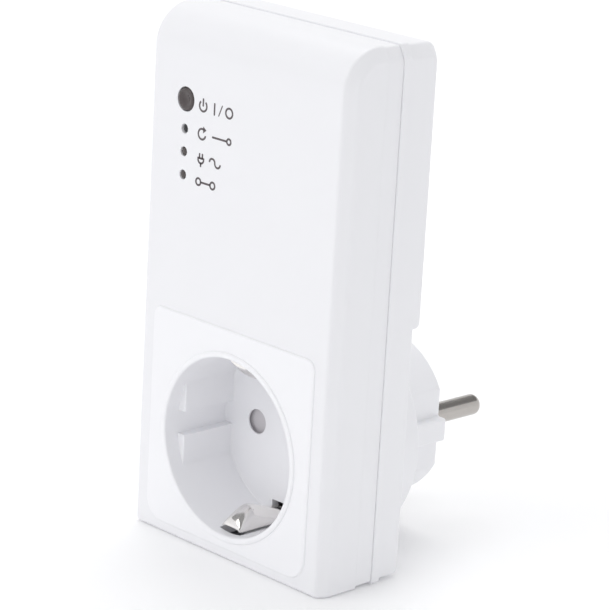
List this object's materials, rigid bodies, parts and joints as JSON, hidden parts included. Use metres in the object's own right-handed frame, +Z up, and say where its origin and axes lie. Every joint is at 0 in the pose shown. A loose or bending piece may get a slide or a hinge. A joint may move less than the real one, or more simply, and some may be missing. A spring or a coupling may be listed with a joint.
{
  "type": "powerline network adapter",
  "caption": "Upright wall-plug network adapter with a pass-through earthed socket on its front, a push button, indicator lamps, a side network port and an earthed plug on its back.",
  "frame": {"origin": "centre of the plug's face, between its two pins, where the plug meets a socket's floor", "axes": "+Y along the pins into the wall, +Z up along the case's height, -Y out of the pass-through socket"},
  "size_m": [0.061, 0.0688, 0.118],
  "materials": {
    "case_white": "satin white moulded plastic",
    "socket_white": "smooth white moulded plastic",
    "button_grey": "smooth dark grey plastic",
    "shutter_grey": "plain grey plastic",
    "nickel": "bright nickel plating",
    "brass_contact": "bare brass",
    "spring_steel": "drawn spring wire",
    "screw_steel": "zinc plated",
    "tinned_steel": "tin plated sheet",
    "clear_plastic": "smoked clear plastic",
    "lamp": "milky yellow resin",
    "board_green": "solder mask on glass-fibre board",
    "black_plastic": "black moulded plastic",
    "ferrite": "unglazed dark ferrite",
    "copper_winding": "enamelled copper",
    "aluminium": "plain extruded",
    "sleeve_black": "shrunk plastic sleeve on an aluminium can",
    "yellow_box": "yellow potted box",
    "blue_coat": "dipped blue coating",
    "brown_sleeve": "brown wire insulation",
    "fuse_ceramic": "white ceramic tube"
  },
  "bodies": {
    "case": {"front_cover": "case_white", "middle_band": "case_white", "back_cover": "case_white", "plug_body": "case_white", "socket_insert": "socket_white", "plug_pin_left": "nickel", "plug_pin_right": "nickel", "plug_earth_strip_top": "nickel", "plug_earth_strip_bottom": "nickel", "socket_contact_left": "brass_contact", "socket_contact_right": "brass_contact", "ethernet_jack_contacts": "brass_contact", "case_screw_left_lower": "screw_steel", "case_screw_left_upper": "screw_steel", "case_screw_right_lower": "screw_steel", "case_screw_right_upper": "screw_steel", "earth_bracket": "tinned_steel", "ethernet_jack": "tinned_steel", "crystal": "tinned_steel", "power_light_guide": "clear_plastic", "link_light_guide": "clear_plastic", "power_lamp": "lamp", "link_lamp": "lamp", "main_board": "board_green", "contact_carrier": "black_plastic", "on_off_switch_body": "black_plastic", "reboot_switch_body": "black_plastic", "ethernet_transformer": "black_plastic", "powerline_chip": "black_plastic", "memory_chip": "black_plastic", "bridge_rectifier": "black_plastic", "signal_transformer": "ferrite", "flyback_transformer": "ferrite", "common_mode_choke": "copper_winding", "chip_heatsink": "aluminium", "bulk_capacitor": "sleeve_black", "output_capacitor": "sleeve_black", "mains_filter_capacitor": "yellow_box", "signal_capacitor": "yellow_box", "varistor": "blue_coat", "supply_wire_right": "blue_coat", "supply_wire_left": "brown_sleeve", "fuse": "fuse_ceramic"},
    "on_off_button": {"on_off_button": "button_grey", "on_off_switch_plunger": "black_plastic"},
    "reboot_plunger": {"reboot_switch_plunger": "black_plastic"},
    "shutter": {"shutter_disc": "shutter_grey", "shutter_spring": "spring_steel"},
    "earth_clip_top": {"earth_clip_top": "nickel"},
    "earth_clip_bottom": {"earth_clip_bottom": "nickel"}
  },
  "joints": [
    {"name": "on_off_press", "type": "slide", "parent": "case", "child": "on_off_button", "axis": [0, 1, 0], "range_m": [0, 0.0005], "stiffness_N_per_m": 2000},
    {"name": "reboot_press", "type": "slide", "parent": "case", "child": "reboot_plunger", "axis": [0, 1, 0], "range_m": [0, 0.0003], "stiffness_N_per_m": 3000},
    {"name": "shutter_turn", "type": "hinge", "parent": "case", "child": "shutter", "pos_m": [0, -0.0296, 0], "axis": [0, 1, 0], "range_deg": [0, 40], "stiffness_Nm_per_rad": 0.01},
    {"name": "earth_clip_top_flex", "type": "hinge", "parent": "case", "child": "earth_clip_top", "pos_m": [0, -0.0286, 0.0176], "axis": [1, 0, 0], "range_deg": [-4.5, 0], "stiffness_Nm_per_rad": 1},
    {"name": "earth_clip_bottom_flex", "type": "hinge", "parent": "case", "child": "earth_clip_bottom", "pos_m": [0, -0.0286, -0.0176], "axis": [1, 0, 0], "range_deg": [0, 4.5], "stiffness_Nm_per_rad": 1}
  ]
}
